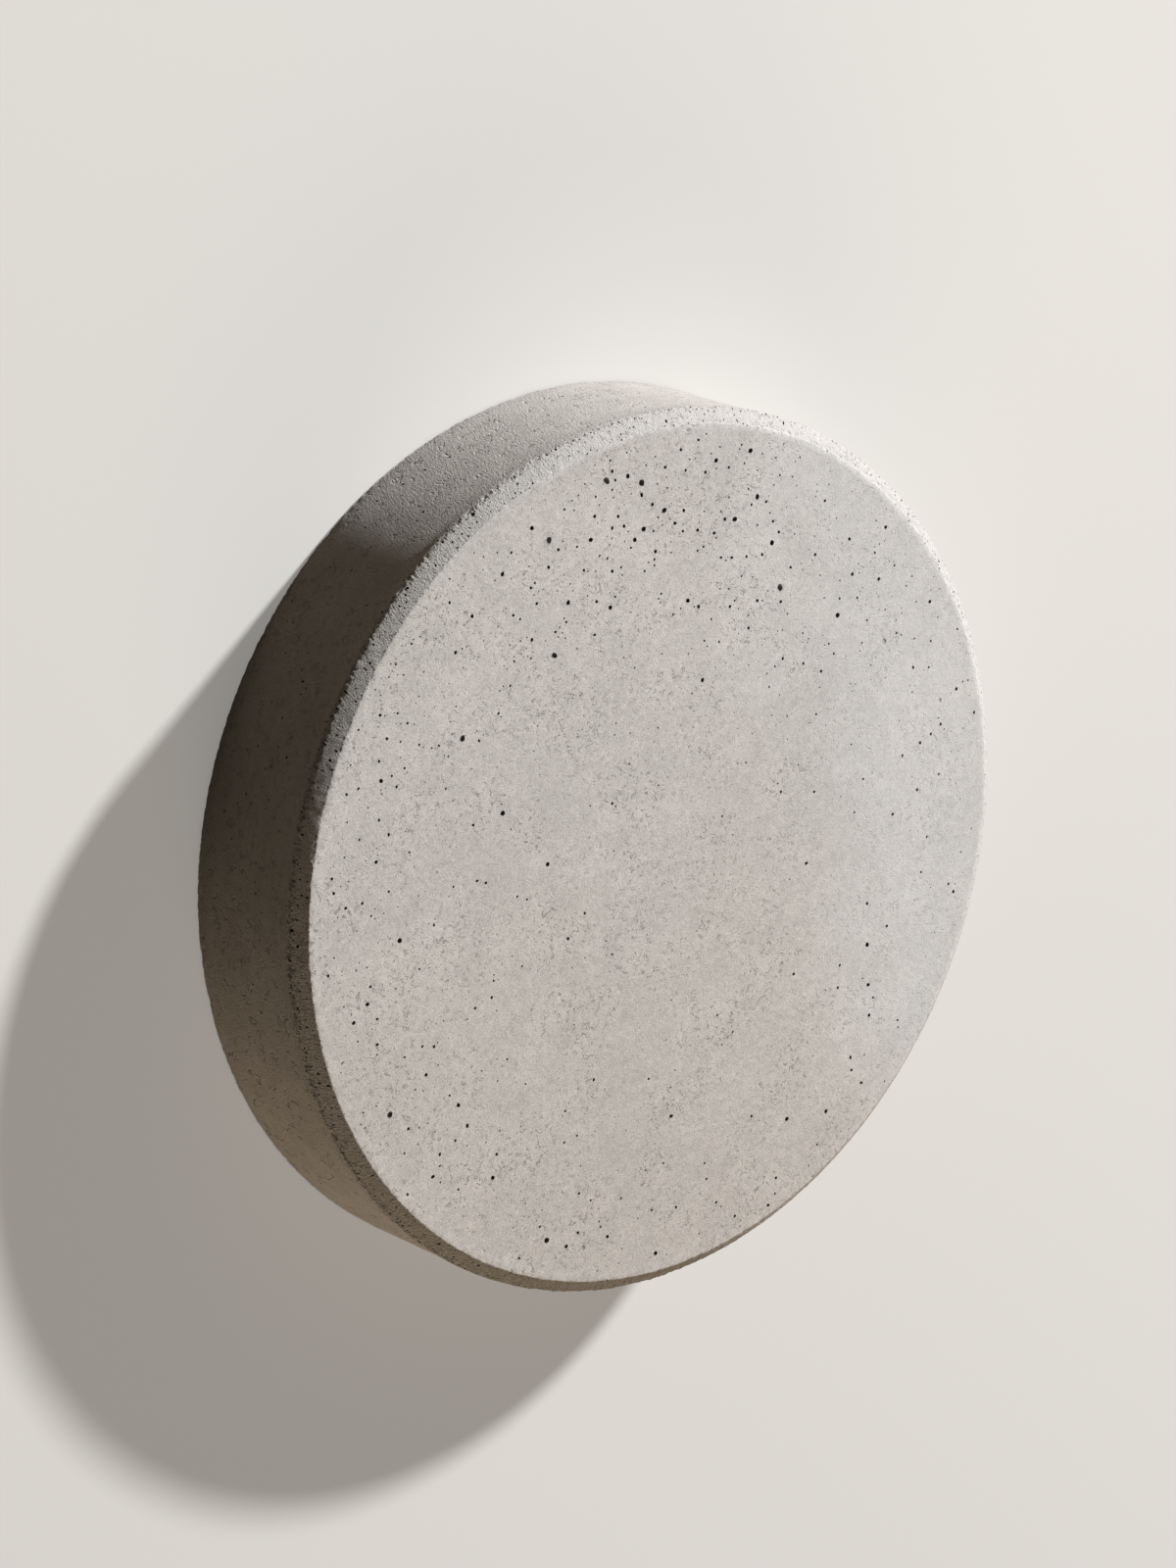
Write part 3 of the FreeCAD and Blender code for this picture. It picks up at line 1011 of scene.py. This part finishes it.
    # Painted shade in pinholes too small for the mesh, which are also shallow pits in the bump.
    colour = n.blend(n.times(pinholes, n.spread(painted_light, 0, 1, 0.85, 0.5)), colour, (0.07, 0.064, 0.058, 1))
    colour = n.blend(n.times(back, 0.5), colour, n.scaled(colour, 0.86))
    # Painted shade inside the pores and in the rim's torn gaps.
    colour = n.blend(n.times(hollow_shade, 0.96), colour, (0.045, 0.042, 0.038, 1))

    # Fine relief in millimetres, each wave about its own middle so that no step comes up where
    # one kind of surface passes into another.
    side_rough = n.spread(wear, 0.08, 0.36, 0.13, 0.30)
    reliefs = (
        (grain, n.spread(sand, 0, 1, 0.07, 0.16)),
        (mottle, n.spread(side, 0, 1, 0.10, 0.06)),
        (strokes, n.times(band, n.spread(side, 0, 1, n.times(rough, 0.24), side_rough))),
        (grit, n.times(band, n.spread(side, 0, 1, n.times(rough, 0.5), side_rough))),
    )
    height = n.times(hairs, -0.05)
    for wave, share in reliefs:
        height = n.maths("ADD", height, n.times(n.maths("SUBTRACT", wave, 0.5), share))
    for mark, depth in ((torn, 0.25), (cracks, 0.36), (pinholes, 0.10), (pearls, -0.2)):
        height = n.maths("SUBTRACT", height, n.times(mark, depth))
    bump = n.add("ShaderNodeBump", {"Strength": 1.0, "Distance": MM, "Height": height})

    shader = n.add(
        "ShaderNodeBsdfPrincipled",
        {
            "Base Color": colour,
            "Roughness": n.spread(blotches, 0.3, 0.7, 0.84, 0.94),
            "Specular IOR Level": 0.3,
            "Normal": bump.outputs["Normal"],
        },
    )
    n.add("ShaderNodeOutputMaterial", {"Surface": shader.outputs[0]})
    return material


def seen_share(n):
    """1 for rays by which the camera sees a thing, straight or in a reflection."""
    path = n.add("ShaderNodeLightPath").outputs
    seen = n.maths("MAXIMUM", path["Is Camera Ray"], path["Is Glossy Ray"])
    return n.maths("MAXIMUM", seen, path["Is Transmission Ray"])


def make_floor():
    """A plain pale floor that throws little light back on the stone."""
    half = FLOOR_SIZE * MM / 2
    data = bpy.data.meshes.new("floor")
    corners = [(-half, -half, 0), (half, -half, 0), (half, half, 0), (-half, half, 0)]
    data.from_pydata(corners, [], [(0, 1, 2, 3)])
    floor = bpy.data.objects.new("floor", data)
    floor.location.z = -0.05 * MM
    bpy.context.collection.objects.link(floor)
    material = bpy.data.materials.new("floor_paint")
    material.use_nodes = True
    n = Nodes(material.node_tree)
    seen = n.add("ShaderNodeBsdfDiffuse", {"Color": FLOOR_SEEN}).outputs[0]
    glow = n.add("ShaderNodeEmission", {"Color": FLOOR_GLOW}).outputs[0]
    seen = n.add("ShaderNodeAddShader", {0: seen, 1: glow}).outputs[0]
    bounce = n.add("ShaderNodeBsdfDiffuse", {"Color": FLOOR_BOUNCE}).outputs[0]
    mix = n.add("ShaderNodeMixShader", {0: seen_share(n), 1: bounce, 2: seen})
    n.add("ShaderNodeOutputMaterial", {"Surface": mix.outputs[0]})
    data.materials.append(material)


def make_lamp(name, kind, azimuth, elevation, distance=0, **settings):
    """A lamp that shines at the stone from an azimuth and elevation."""
    lamp = bpy.data.lights.new(name, kind)
    for setting, value in settings.items():
        setattr(lamp, setting, value)
    holder = bpy.data.objects.new(name, lamp)
    holder.location = direction(azimuth, elevation) * distance * MM
    holder.rotation_euler = direction(azimuth, elevation).to_track_quat("Z", "Y").to_euler()
    bpy.context.collection.objects.link(holder)


def make_light():
    """The key lamp, the card's light and the even fill of the world."""
    power = KEY_STRENGTH * 4 * math.pi * (KEY_DISTANCE * MM) ** 2
    soft = KEY_RADIUS * MM
    make_lamp("key", "POINT", KEY_AZIMUTH, KEY_ELEVATION, KEY_DISTANCE, energy=power, shadow_soft_size=soft)
    make_lamp(
        "card", "SUN", CARD_AZIMUTH, CARD_ELEVATION, energy=CARD_STRENGTH, angle=CARD_WIDTH, color=CARD_COLOUR
    )
    world = bpy.data.worlds.new("studio")
    world.use_nodes = True
    n = Nodes(world.node_tree)
    fill = n.add("ShaderNodeBackground", {"Color": FILL_COLOUR, "Strength": FILL_STRENGTH}).outputs[0]
    seen = n.add("ShaderNodeBackground", {"Color": BACKGROUND, "Strength": 1.0}).outputs[0]
    mix = n.add("ShaderNodeMixShader", {0: seen_share(n), 1: fill, 2: seen})
    n.add("ShaderNodeOutputWorld", {"Surface": mix.outputs[0]})
    bpy.context.scene.world = world


def make_camera():
    """The photograph's view of the stone."""
    data = bpy.data.cameras.new("camera")
    data.lens = LENS
    data.sensor_width = SENSOR
    data.sensor_fit = "AUTO"
    data.clip_end = 100
    camera = bpy.data.objects.new("camera", data)
    right, up, back = camera_axes()
    turn = Matrix((right, up, back)).transposed().to_4x4()
    camera.matrix_world = Matrix.Translation(CAMERA_PLACE * MM) @ turn
    bpy.context.collection.objects.link(camera)
    bpy.context.scene.camera = camera


def make_stone():
    """The stone's skin in place of the plain solid."""
    stone = bpy.data.objects.new("cast_stone", stone_mesh())
    stone.data.materials.append(concrete_material())
    bpy.context.collection.objects.link(stone)
    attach(stone, "root")
    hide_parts(NODE)


make_stone()
make_floor()
make_light()
make_camera()
bpy.context.scene.view_settings.view_transform = "Standard"
bpy.context.view_layer.update()
